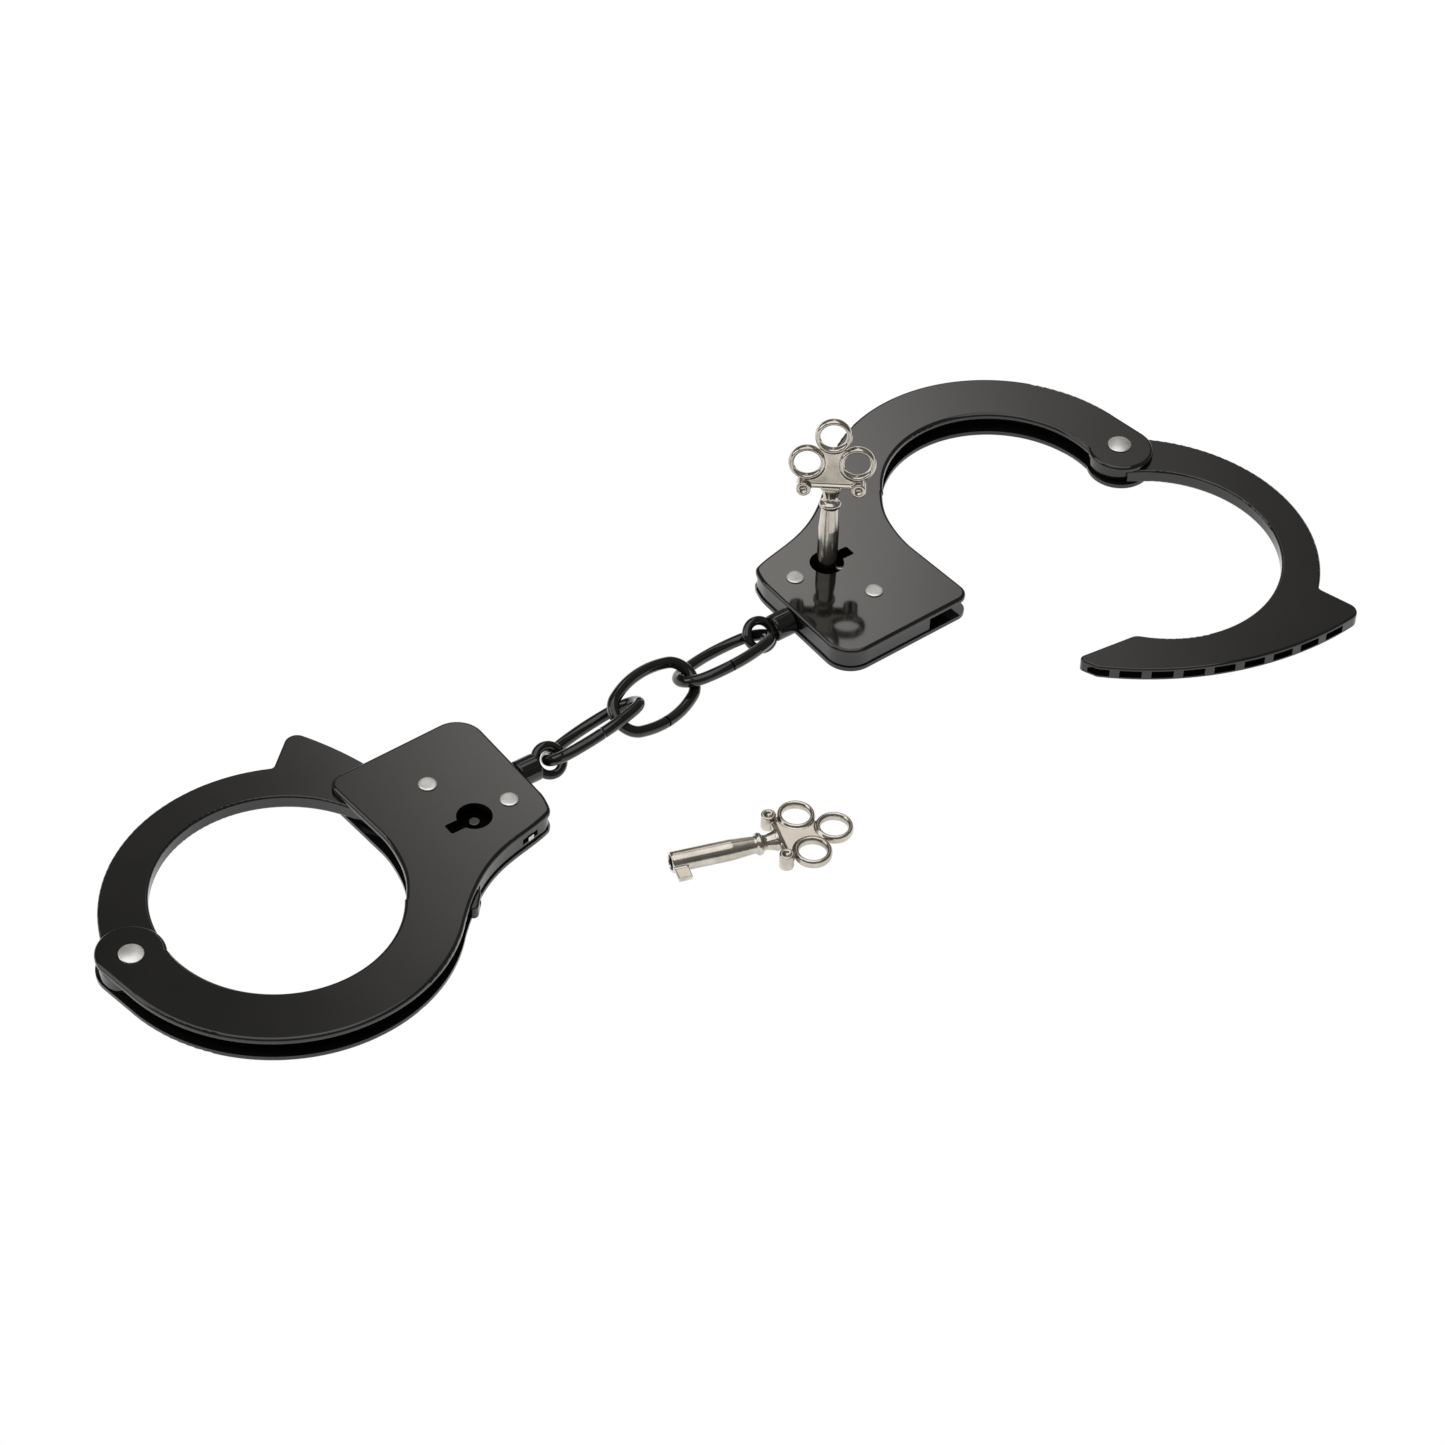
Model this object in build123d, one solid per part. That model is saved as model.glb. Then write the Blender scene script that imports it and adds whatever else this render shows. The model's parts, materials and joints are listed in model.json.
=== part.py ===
"""Double-lock handcuffs: two swing-jaw cuffs joined by swivels and three chain links, with two keys."""
from build123d import *
import math
import os

os.makedirs("parts", exist_ok=True)

# ---- where each cuff sits (row frame, table at z = 0, long axis along X) ----
PIVOT_SPAN = 274.0
LEFT_YAW = -2.64
RIGHT_YAW = 178.02
ROW_SHIFT = (-6.577, 15.124, 0.0)
RIGHT_JAW_OPEN = 65.8

# ---- plate stack ----
CHEEK_T = 1.4
CUFF_T = 6.5
UPPER_Z = CUFF_T - CHEEK_T
MID_Z = CUFF_T / 2
JAW_T = 3.4
JAW_Z = MID_Z - JAW_T / 2
WALL_T = 1.2
WALL_INSET = 0.35

# ---- cheek outline (cuff frame: pivot at the origin, +X towards the chain) ----
RING_C = (33.4, -3.8)
RING_R_IN = 26.4
RING_R_OUT = 39.6
LOBE_C = (0.3, 0.8)
LOBE_R = 7.6
CASE_END_X = 97.3
MOUTH_Y0 = 20.9
MOUTH_Y1 = 22.2
MOUTH_R = 3.2
END_R = 6.5
LOW_CORNER_Y = -7.5
BACK_PTS = [(94.9, -13.9), (88.1, -15.7), (81.5, -17.4), (75.2, -20.2), (70.6, -23.3), (66.0, -27.2), (62.0, -31.0)]
INNER_PTS = [(55.5, -18.6), (59.6, -12.0), (61.4, -5.5), (61.9, 0.5)]

# ---- jaw ----
JAW_OUT_C = (36.6, -5.5)
JAW_OUT_R = 41.5
JAW_IN_C = (36.4, -1.0)
JAW_IN_R = 28.4
TOOTH_R = 74.8
PIVOT_HOLE_R = 2.05
POCKET_PITCH = 5.5
POCKET_FIRST = -18.88
POCKET_COUNT = 9
POCKET_LEN = 5.0
POCKET_DEPTH = 1.6
POCKET_H = 2.0

# ---- rivets, keyhole, post ----
PIVOT_SHANK_R = 2.0
PIVOT_HEAD_R = 2.75
RIVET_A = (78.25, 7.8)
RIVET_B = (90.25, -5.8)
RIVET_SHANK_R = 1.2
RIVET_HEAD_R = 2.05
KEYHOLE = (81.3, -5.8)
KEYHOLE_R = 3.95
SLOT_END_X = 74.3
SLOT_HALF = 1.5
POST_R = 1.25

# ---- pawl, spring, double-lock bar ----
PAWL_EYE_R = 2.5
PAWL_LIFT = 11.0
PAWL_T = 3.2
TOOTH_T = 1.7
BAR_C = (88.5, -13.35)
BAR_YAW = 12.9

# ---- swivel ----
SWIVEL_Y = 2.2
EYE_X = 106.0
EYE_R = 3.25
EYE_WIRE = 2.1
EYE_TILT = 40.0
NECK_R = 3.1
SHANK_R = 1.2
HEAD_R = 1.7

# ---- chain links: centre, then three turns about Z, Y and the link's own long axis ----
LINK_WIRE = 2.65
LINK_HALF_L = 12.4
LINK_HALF_W = 6.15
LINK_END_R = 4.9
LINK_POSES = [
    ((-19.48, -3.21, 5.91), (2.6, -6.54, -38.43)),
    ((-2.3, -2.81, 6.14), (13.06, 6.74, 29.96)),
    ((18.95, -0.67, 4.38), (4.66, 2.38, -29.26)),
]
JOINT_GAP = 0.3

# ---- keys (key frame: tip at z = 0, bow up, bit along +X) ----
BARREL_R = 2.2
BARREL_TOP_R = 1.8
BORE_R = 1.68
BORE_DEPTH = 9.0
BEAD_Z = 19.8
CROSS_Z = 24.1
RING_Z = 30.2
RING_X = 5.65
TOP_RING_Z = 37.0
BOW_R = 4.25
BOW_HOLE_R = 2.95
BOW_T = 2.2
WEB_T = 1.1
BOSS_X = 6.2
BOSS_R = 1.65
BOSS_T = 3.8
BIT_REACH = 5.6
BIT_L = 3.1
BIT_Z = 0.15
BIT_T = 1.0
KEY_LEAN = 12.0
KEY_BIT_YAW = -40.05
KEY_TIP_Z = 1.62
SPARE_TIP = (-28.5, -42.5)
SPARE_YAW = -20.0
SPARE_Z = 2.55


def soften(shape, edges, radius):
    """Round the given edges, or leave them if the modeller cannot."""
    try:
        return fillet(edges, radius)
    except Exception:
        return shape


def disc(centre, radius):
    return Pos(centre[0], centre[1]) * Circle(radius)


def rod(x, y, z0, z1, radius):
    return Pos(x, y, (z0 + z1) / 2) * Cylinder(radius, z1 - z0)


def back_curves():
    """The rounded corner by the chain and the hollow back edge down to the ring."""
    corner_pts = [(CASE_END_X, LOW_CORNER_Y), (96.7, -11.2), BACK_PTS[0]]
    corner = Spline(*corner_pts, tangents=[(0, -1), (-0.93, -0.36)])
    back = Spline(*BACK_PTS, tangents=[(-0.93, -0.36), (-0.75, -0.66)])
    return corner, back


def case_face():
    """The lock case and neck, as one flat outline."""
    top_l = (60.6, MOUTH_Y0)
    top_r = (CASE_END_X, MOUTH_Y1)
    low_r = (CASE_END_X, LOW_CORNER_Y)
    corner, back = back_curves()
    with BuildSketch() as sk:
        with BuildLine():
            Spline(*INNER_PTS, tangents=[(0.6, 0.8), (-0.01, 1)])
            Line(INNER_PTS[-1], top_l)
            Line(top_l, top_r)
            Line(top_r, low_r)
            add(corner)
            add(back)
            Line(BACK_PTS[-1], (52.0, -27.5))
            Line((52.0, -27.5), INNER_PTS[0])
        make_face()
        fillet(sk.vertices().sort_by_distance(top_l)[0], MOUTH_R)
        fillet(sk.vertices().sort_by_distance(top_r)[0], END_R)
    return sk.sketch


def cheek_face():
    """Full outline of one cheek: pivot lobe, half ring and lock case."""
    ring = disc(RING_C, RING_R_OUT) - disc(RING_C, RING_R_IN)
    left_half = Pos(RING_C[0] - 25, -25) * Rectangle(50, 50)
    right_half = Pos(RING_C[0] + 15, -34) * Rectangle(30, 32)
    low_ring = ring & (left_half + right_half)
    away = math.radians(191.5)
    lobe_side = (LOBE_C[0] + LOBE_R * math.cos(away), LOBE_C[1] + LOBE_R * math.sin(away))
    ring_side = (RING_C[0] + RING_R_OUT * math.cos(away), RING_C[1] + RING_R_OUT * math.sin(away))
    shoulder = make_face(Polyline(lobe_side, ring_side, (-1.0, ring_side[1]), (-1.0, lobe_side[1]), close=True))
    return disc(LOBE_C, LOBE_R) + low_ring + case_face() + shoulder


def keyhole_face():
    slot_len = KEYHOLE[0] - SLOT_END_X
    slot = Pos(SLOT_END_X + slot_len / 2, KEYHOLE[1] - 0.4) * Rectangle(slot_len, 2 * SLOT_HALF)
    slot = fillet(slot.vertices(), 0.5)
    return disc(KEYHOLE, KEYHOLE_R) + slot


def fixing_holes():
    return disc((0, 0), PIVOT_SHANK_R) + disc(RIVET_A, RIVET_SHANK_R) + disc(RIVET_B, RIVET_SHANK_R)


def outer_edges(shape, z):
    """Edges of the outer boundary in the plane at height z."""
    face = shape.faces().filter_by(Axis.Z).sort_by(lambda f: abs(f.center().Z - z))[0]
    return face.outer_wire().edges()


def upper_cheek():
    flat = cheek_face() - fixing_holes() - keyhole_face()
    body = Pos(0, 0, UPPER_Z) * extrude(flat, CHEEK_T)
    body = soften(body, outer_edges(body, CUFF_T), 0.75)
    return soften(body, outer_edges(body, UPPER_Z), 0.22)


def inset(curve, count, depth):
    """Points a set depth to the right of a curve's direction of travel."""
    points = []
    for i in range(count + 1):
        here = curve.position_at(i / count)
        way = curve.tangent_at(i / count)
        points.append((here.X + way.Y * depth, here.Y - way.X * depth))
    return points


def wall_face(depth):
    """The mouth, end and back outline of the case, moved in by a set depth."""
    corner, back = back_curves()
    low = inset(corner, 4, depth) + inset(back, 14, depth)[1:]
    top_r = (CASE_END_X - depth, MOUTH_Y1 - depth)
    top_l = (40.0, MOUTH_Y0 - depth - 0.7)
    with BuildSketch() as sk:
        with BuildLine():
            Line(top_l, top_r)
            Line(top_r, low[0])
            Spline(*low)
            Line(low[-1], (40.0, -40.0))
            Line((40.0, -40.0), top_l)
        make_face()
        fillet(sk.vertices().sort_by_distance(top_r)[0], END_R - depth)
    return sk.sketch


def wall_band(outline):
    """Band set just inside the case outline, kept clear of the jaw's sweep."""
    keep = Pos(85, 0) * Rectangle(60, 80)
    band = wall_face(WALL_INSET) & outline & keep
    return (band - wall_face(WALL_T)) - disc((0, 0), TOOTH_R + 0.6)


def lower_shell():
    outline = cheek_face()
    seats = fixing_holes() + disc(KEYHOLE, POST_R)
    plate = extrude(outline - seats, CHEEK_T)
    plate = soften(plate, outer_edges(plate, 0), 0.6)
    wall = Pos(0, 0, CHEEK_T) * extrude(wall_band(outline), UPPER_Z - CHEEK_T)
    body = plate + wall
    slot = Pos(89.52, -15.08, 3.2) * Rot(0, 0, BAR_YAW) * Box(4.6, 4.0, 1.5)
    hole = Pos(96.7, SWIVEL_Y, MID_Z) * Rot(0, 90, 0) * Cylinder(SHANK_R + 0.05, 4)
    return body - slot - hole


def domed_rivet(radius, head_r, head_h):
    """A rivet with a low domed head on top and a countersunk flush tail."""
    shank = rod(0, 0, 0.4, CUFF_T + 0.1, radius)
    tail = Pos(0, 0, 0.225) * Cone(radius + 0.45, radius, 0.45)
    ball_r = (head_r ** 2 + head_h ** 2) / (2 * head_h)
    head = rod(0, 0, CUFF_T, CUFF_T + head_h + 0.5, head_r)
    dome = Pos(0, 0, CUFF_T + 0.12 + head_h - ball_r) * Sphere(ball_r)
    return shank + tail + (head & dome)


def countersunk(shell, centre, radius):
    cone = Pos(centre[0], centre[1], 0.225) * Cone(radius + 0.45, radius, 0.45)
    return shell - cone


def key_post():
    post = rod(KEYHOLE[0], KEYHOLE[1], 0.0, UPPER_Z - 0.1, POST_R)
    top = post.faces().sort_by(Axis.Z)[-1]
    return soften(post, top.edges(), 0.25)


def jaw_face():
    """Outline of the single-strand jaw in its closed pose."""
    ring = disc(JAW_OUT_C, JAW_OUT_R)
    head_pts = [(20, -1), (54.0, 31.7), (66.0, 42.4), (80, 42.4), (80, -22.0), (70.9, -24.2), (66.98, -28.6),
                (61.0, -10.06), (40, -5)]
    head = make_face(Polyline(*head_pts, close=True)) & disc((0, 0), TOOTH_R)
    upper = Pos(30, 35) * Rectangle(90, 70)
    bow = (ring & upper) & make_face(Polyline((-12, -3), (-12, 45), (60, 45), (60, 0), (40, -3), close=True))
    body = bow + head + disc((0, 0), 7.0)
    wrist = disc(JAW_IN_C, JAW_IN_R)
    body = body - wrist
    return body


def pocket_tools():
    tools = []
    for i in range(POCKET_COUNT):
        ang = POCKET_FIRST + i * POCKET_PITCH
        cut = Pos(TOOTH_R - POCKET_DEPTH / 2 + 1, 0, MID_Z) * Box(POCKET_DEPTH + 2, POCKET_LEN, POCKET_H)
        tools.append(Rot(0, 0, ang) * cut)
    return tools


def jaw():
    flat = jaw_face()
    tip = [(54.35, 32.0), (63.2, 39.9), (66.98, -28.6), (70.7, -24.4), (62.0, -13.2)]
    for point, radius in zip(tip, (1.2, 2.8, 1.2, 2.0, 3.0)):
        flat = fillet(flat.vertices().sort_by_distance(point)[0], radius)
    flat = flat - disc((0, 0), PIVOT_HOLE_R)
    body = Pos(0, 0, JAW_Z) * extrude(flat, JAW_T)
    body = soften(body, outer_edges(body, JAW_Z + JAW_T), 0.5)
    body = soften(body, outer_edges(body, JAW_Z), 0.5)
    for tool in pocket_tools():
        body = body - tool
    return body


def pawl():
    """Lever on the first lock rivet; one tooth faces the jaw, the key bit pushes its free end."""
    arm = make_face(Polyline((75.1, 9.0), (75.1, -1.2), (77.2, -1.2), (78.9, 5.0), (80.4, 9.0), close=True))
    plate = (arm & disc(RIVET_A, 11)) + disc(RIVET_A, PAWL_EYE_R)
    trim = Pos(75, 11.3) * Rectangle(14, 6)
    plate = (plate - trim) + disc(RIVET_A, PAWL_EYE_R)
    plate = plate - disc(RIVET_A, RIVET_SHANK_R + 0.05)
    body = Pos(0, 0, MID_Z - PAWL_T / 2) * extrude(plate, PAWL_T)
    tooth = make_face(Polyline((75.6, 3.45), (74.1, 3.3), (74.1, 2.5), (75.6, 2.35), close=True))
    body = body + Pos(0, 0, MID_Z - TOOTH_T / 2) * extrude(tooth, TOOTH_T)
    about = Pos(RIVET_A[0], RIVET_A[1]) * Rot(0, 0, PAWL_LIFT) * Pos(-RIVET_A[0], -RIVET_A[1])
    return about * body


def pawl_spring():
    """Flat leaf bent from a hook by the end wall down to the pawl's back."""
    path = Spline((94.6, 12.5), (90.5, 16.6), (85.0, 13.0), (81.7, 6.0), (80.1, 0.6))
    half = 0.2
    left = [path.position_at(t / 16) + path.tangent_at(t / 16).rotate(Axis.Z, 90) * half for t in range(17)]
    right = [path.position_at(t / 16) - path.tangent_at(t / 16).rotate(Axis.Z, 90) * half for t in range(17)]
    ring = [(p.X, p.Y) for p in left] + [(p.X, p.Y) for p in reversed(right)]
    strip = make_face(Polyline(*ring, close=True))
    return Pos(0, 0, MID_Z - 1.2) * extrude(strip, 2.4)


def double_lock_bar():
    """Plated sliding bar behind the back wall, with a thumb tab in the wall's slot."""
    strip = Box(9.0, 0.8, 3.0)
    foot = Pos(-4.2, 1.1, 0) * Box(1.0, 1.6, 3.0)
    tab = Pos(0.6, -1.2, 0) * Box(1.6, 1.9, 1.1)
    return Pos(BAR_C[0], BAR_C[1], MID_Z - 0.05) * Rot(0, 0, BAR_YAW) * (strip + foot + tab)


def swivel():
    """Eye, neck and shank; the shank turns in the end wall."""
    eye = Torus(EYE_R, EYE_WIRE / 2)
    eye = Pos(EYE_X, SWIVEL_Y, MID_Z) * Rot(EYE_TILT, 0, 0) * eye
    neck_x0 = CASE_END_X + 0.25
    neck = Pos((neck_x0 + 102.7) / 2, SWIVEL_Y, MID_Z) * Rot(0, 90, 0) * Cylinder(NECK_R, 102.7 - neck_x0)
    neck = soften(neck, neck.edges().filter_by(GeomType.CIRCLE), 0.5)
    window = Pos(EYE_X, SWIVEL_Y, MID_Z) * Sphere(EYE_R - EYE_WIRE / 2 + 0.02)
    shank = Pos((93.6 + neck_x0 + 0.5) / 2, SWIVEL_Y, MID_Z) * Rot(0, 90, 0) * Cylinder(SHANK_R, neck_x0 + 0.5 - 93.6)
    return (eye + (neck - window)) + shank


def swivel_collar():
    """Ring staked on the shank inside the case, so the swivel cannot pull out."""
    ring = Cylinder(HEAD_R, 1.4) - Cylinder(SHANK_R, 2)
    return Pos(94.9, SWIVEL_Y, MID_Z) * Rot(0, 90, 0) * ring


def link_path():
    """Four tangent arcs: the wire centreline of one link, in XY."""
    half_l = LINK_HALF_L
    half_w = LINK_HALF_W
    end_r = LINK_END_R
    side_r = ((half_l - end_r) ** 2 + half_w ** 2 - end_r ** 2) / (2 * (half_w - end_r))
    cx = half_l - end_r
    cy = side_r - half_w
    ang = math.atan2(cy, cx)
    tx = cx + end_r * math.cos(ang)
    ty = end_r * math.sin(ang)
    right = ThreePointArc((tx, -ty), (half_l, 0), (tx, ty))
    top = ThreePointArc((tx, ty), (0, half_w), (-tx, ty))
    left = ThreePointArc((-tx, ty), (-half_l, 0), (-tx, -ty))
    bottom = ThreePointArc((-tx, -ty), (0, -half_w), (tx, -ty))
    return Wire([right, top, left, bottom]), (tx, -ty)


def chain_link():
    wire, start = link_path()
    tangent = wire.tangent_at(0)
    section = Plane(origin=wire.position_at(0), z_dir=tangent) * Circle(LINK_WIRE / 2)
    body = sweep(section, path=wire)
    split = Pos(1.2, -LINK_HALF_W, 0) * Rot(0, 0, 14) * Box(JOINT_GAP, 4, 4)
    return body - split


def placed_link(index):
    centre, turns = LINK_POSES[index]
    yaw, pitch, roll = turns
    place = Pos(*centre) * Rot(0, 0, yaw) * Rot(0, pitch, 0) * Rot(roll, 0, 0)
    return place * chain_link()


def key_barrel():
    half = [(0, 0), (BARREL_R - 0.2, 0), (BARREL_R, 0.3), (BARREL_R, 13.5), (BARREL_TOP_R + 0.05, BEAD_Z - 0.6),
            (BARREL_TOP_R, BEAD_Z + 1.0), (1.55, BEAD_Z + 1.3), (2.4, CROSS_Z - 0.3), (2.4, CROSS_Z), (0, CROSS_Z)]
    body = revolve(Plane.XZ * make_face(Polyline(*half, close=True)), Axis.Z)
    bead = Pos(0, 0, BEAD_Z) * Torus(BARREL_TOP_R, 0.75)
    bore = rod(0, 0, -1, BORE_DEPTH, BORE_R)
    body = (body + bead) - bore
    flute = rod(0, 0, BEAD_Z + 1.4, CROSS_Z - 0.55, 0.28)
    for i in range(10):
        body = body - Rot(0, 0, 36 * i) * Pos(2.0, 0, 0) * flute
    return body


def key_bow():
    centres = [(-RING_X, RING_Z), (RING_X, RING_Z), (0, TOP_RING_Z)]
    rims = None
    holes = None
    for c in centres:
        rim = disc(c, BOW_R)
        hole = disc(c, BOW_HOLE_R)
        rims = rim if rims is None else rims + rim
        holes = hole if holes is None else holes + hole
    web_pts = [(-BOSS_X, CROSS_Z), (BOSS_X, CROSS_Z), (RING_X, RING_Z), (0, TOP_RING_Z), (-RING_X, RING_Z)]
    web = make_face(Polyline(*web_pts, close=True))
    thick = Plane.XZ * (rims - holes)
    thin = Plane.XZ * ((web + rims) - holes)
    body = extrude(thick, BOW_T / 2, both=True) + extrude(thin, WEB_T / 2, both=True)
    bar = Pos(0, 0, CROSS_Z + 0.35) * Box(2 * BOSS_X, BOW_T - 0.2, 0.9)
    body = body + bar
    for side in (-1, 1):
        boss = Pos(side * BOSS_X, 0, CROSS_Z) * Rot(90, 0, 0) * Cylinder(BOSS_R, BOSS_T)
        boss = soften(boss, boss.edges().filter_by(GeomType.CIRCLE), 0.3)
        body = body + boss
        for face in (-1, 1):
            dimple = Pos(side * BOSS_X, face * (BOSS_T / 2 + 0.35), CROSS_Z) * Sphere(0.95)
            body = body - dimple
    return body


def key():
    bit = Pos(BARREL_R - 0.6 + (BIT_REACH - BARREL_R + 0.6) / 2, 0, BIT_Z + BIT_L / 2)
    bit = bit * Box(BIT_REACH - BARREL_R + 0.6, BIT_T, BIT_L)
    return key_barrel() + key_bow() + (bit - rod(0, 0, -1, 6, BORE_R))


def cuff_parts():
    """Every piece of one cuff in its own frame, jaw closed."""
    shell = lower_shell()
    for centre, radius in (((0, 0), PIVOT_SHANK_R), (RIVET_A, RIVET_SHANK_R), (RIVET_B, RIVET_SHANK_R)):
        shell = countersunk(shell, centre, radius)
    small = domed_rivet(RIVET_SHANK_R, RIVET_HEAD_R, 0.25)
    lock_rivets = [Pos(*RIVET_A, 0) * small, Pos(*RIVET_B, 0) * small]
    return {
        "upper_cheek": upper_cheek(),
        "lower_shell": shell,
        "pivot_rivet": domed_rivet(PIVOT_SHANK_R, PIVOT_HEAD_R, 0.5),
        "lock_rivets": Compound(children=lock_rivets),
        "key_post": key_post(),
        "pawl_spring": pawl_spring(),
        "pawl": pawl(),
        "double_lock_bar": double_lock_bar(),
        "swivel": swivel(),
        "swivel_collar": swivel_collar(),
        "jaw": jaw(),
    }


def save(name, shape):
    solids = [Pos(*ROW_SHIFT) * solid for solid in shape.solids()]
    moved = solids[0] if len(solids) == 1 else Compound(children=solids)
    export_step(moved, "parts/" + name + ".step")
    box = moved.bounding_box()
    print(name, "volume", round(moved.volume, 2), "box", [round(v, 2) for v in (*box.min, *box.max)])
    return box


left_place = Pos(-PIVOT_SPAN / 2, 0, 0) * Rot(0, 0, LEFT_YAW)
right_place = Pos(PIVOT_SPAN / 2, 0, 0) * Rot(0, 0, RIGHT_YAW)
pieces = cuff_parts()
boxes = []
for part_name, solid in pieces.items():
    boxes.append(save("left_" + part_name, left_place * solid))
    turned = Rot(0, 0, RIGHT_JAW_OPEN) * solid if part_name == "jaw" else solid
    if part_name == "swivel":
        turned = Pos(0, SWIVEL_Y, MID_Z) * Rot(-2 * EYE_TILT, 0, 0) * Pos(0, -SWIVEL_Y, -MID_Z) * solid
    boxes.append(save("right_" + part_name, right_place * turned))
for number in range(3):
    boxes.append(save("chain_link_" + str(number + 1), placed_link(number)))

one_key = key()
world_hole = right_place * Pos(KEYHOLE[0], KEYHOLE[1], 0)
hole_xy = world_hole.position
lock_place = Pos(hole_xy.X, hole_xy.Y, MID_Z + 0.35) * Rot(0, 0, KEY_BIT_YAW) * Rot(-KEY_LEAN, 0, 0)
lock_place = lock_place * Pos(0, 0, KEY_TIP_Z - MID_Z - 0.35)
boxes.append(save("lock_key", lock_place * one_key))
spare_place = Pos(SPARE_TIP[0], SPARE_TIP[1], SPARE_Z) * Rot(0, 0, SPARE_YAW) * Rot(-90, 0, 0) * Rot(0, 90, 0)
boxes.append(save("spare_key", spare_place * one_key))

low = [min(getattr(b.min, a) for b in boxes) for a in "XYZ"]
high = [max(getattr(b.max, a) for b in boxes) for a in "XYZ"]
print("all", [round(v, 3) for v in low], [round(v, 3) for v in high])
print("centre", [round((low[i] + high[i]) / 2, 3) for i in range(3)])
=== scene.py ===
import bpy
import bmesh
import json
import math
from mathutils import Matrix, Vector


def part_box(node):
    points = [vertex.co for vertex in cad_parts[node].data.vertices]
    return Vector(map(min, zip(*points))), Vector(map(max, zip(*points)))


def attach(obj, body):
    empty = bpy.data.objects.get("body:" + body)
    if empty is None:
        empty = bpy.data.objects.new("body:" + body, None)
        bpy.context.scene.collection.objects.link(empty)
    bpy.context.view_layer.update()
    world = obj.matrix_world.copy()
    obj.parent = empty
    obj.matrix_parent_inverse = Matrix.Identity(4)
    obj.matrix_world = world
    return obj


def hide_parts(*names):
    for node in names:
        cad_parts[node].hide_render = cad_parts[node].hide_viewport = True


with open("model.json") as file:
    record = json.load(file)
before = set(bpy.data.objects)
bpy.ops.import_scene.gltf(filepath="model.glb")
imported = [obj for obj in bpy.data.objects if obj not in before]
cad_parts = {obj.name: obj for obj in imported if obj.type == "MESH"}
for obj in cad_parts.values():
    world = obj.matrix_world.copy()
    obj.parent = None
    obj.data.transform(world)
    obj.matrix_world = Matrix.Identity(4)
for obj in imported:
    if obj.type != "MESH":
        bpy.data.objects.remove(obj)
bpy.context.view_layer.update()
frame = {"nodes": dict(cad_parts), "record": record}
nodes = frame["nodes"]
print("frame loaded:", len(nodes), "nodes")
mm = 0.001

# the camera stands in front and above, and looks down across both cuffs
viewSet = {
    "place": (-0.496544, -0.591536, 0.743964),
    "heading": 49.95,
    "dip": 43.82,
    "roll": -2.529,
    "lens": 121.5,
    "sensor": 36.0,
    "near": 0.01,
    "far": 30.0,
}


def makeCamera(v):
    data = bpy.data.cameras.new("viewCamera")
    data.lens = v["lens"]
    data.sensor_width = v["sensor"]
    data.clip_start = v["near"]
    data.clip_end = v["far"]
    cam = bpy.data.objects.new("viewCamera", data)
    bpy.context.scene.collection.objects.link(cam)
    h, d, r = (math.radians(v[k]) for k in ("heading", "dip", "roll"))
    ahead = Vector((math.cos(h) * math.cos(d), math.sin(h) * math.cos(d), -math.sin(d)))
    side = ahead.cross(Vector((0, 0, 1))).normalized()
    up = side.cross(ahead)
    right = math.cos(r) * side - math.sin(r) * up
    top = math.sin(r) * side + math.cos(r) * up
    turn = Matrix((right, top, -ahead)).transposed()
    cam.matrix_world = Matrix.Translation(v["place"]) @ turn.to_4x4()
    bpy.context.scene.camera = cam


makeCamera(viewSet)

# a pale floor, a glow that fades across the sky, and two soft lamps
roomSet = {
    "floorSize": 6.0,
    "floorColour": (0.93, 0.93, 0.925, 1),
    "floorRough": 0.9,
    "floorShine": 0.1,
    "floorGlow": 0.62,
    "skyBase": 0.15,
    "skyColour": (1.0, 0.99, 0.97, 1),
    "skyGlow": 3.2,
    "glowFrom": 38.0,
    "glowTo": 64.0,
    # place and level of the glow, from the first edge of its band to the last
    "glowStops": (
        (0.0, 0.03), (0.14, 0.07), (0.24, 0.25), (0.30, 0.38), (0.36, 0.7),
        (0.43, 1.0), (0.54, 0.8), (0.64, 0.5), (0.75, 0.08), (1.0, 0.0),
    ),
    "glowTint": (1.0, 0.965, 0.92),
    # the glow comes up between the first two heights and goes down between the last two
    "glowRise": (0.58, 0.66, 0.15, 1.0),
    "glowFall": (0.695, 0.735, 1.0, 0.35),
    # name, place, size and power
    "lamps": (
        ("overheadLamp", (-0.2, 0.1, 1.6), 1.8, 16.0),
        ("sideLamp", (-1.3, 0.9, 0.9), 1.0, 7.0),
    ),
}


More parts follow.
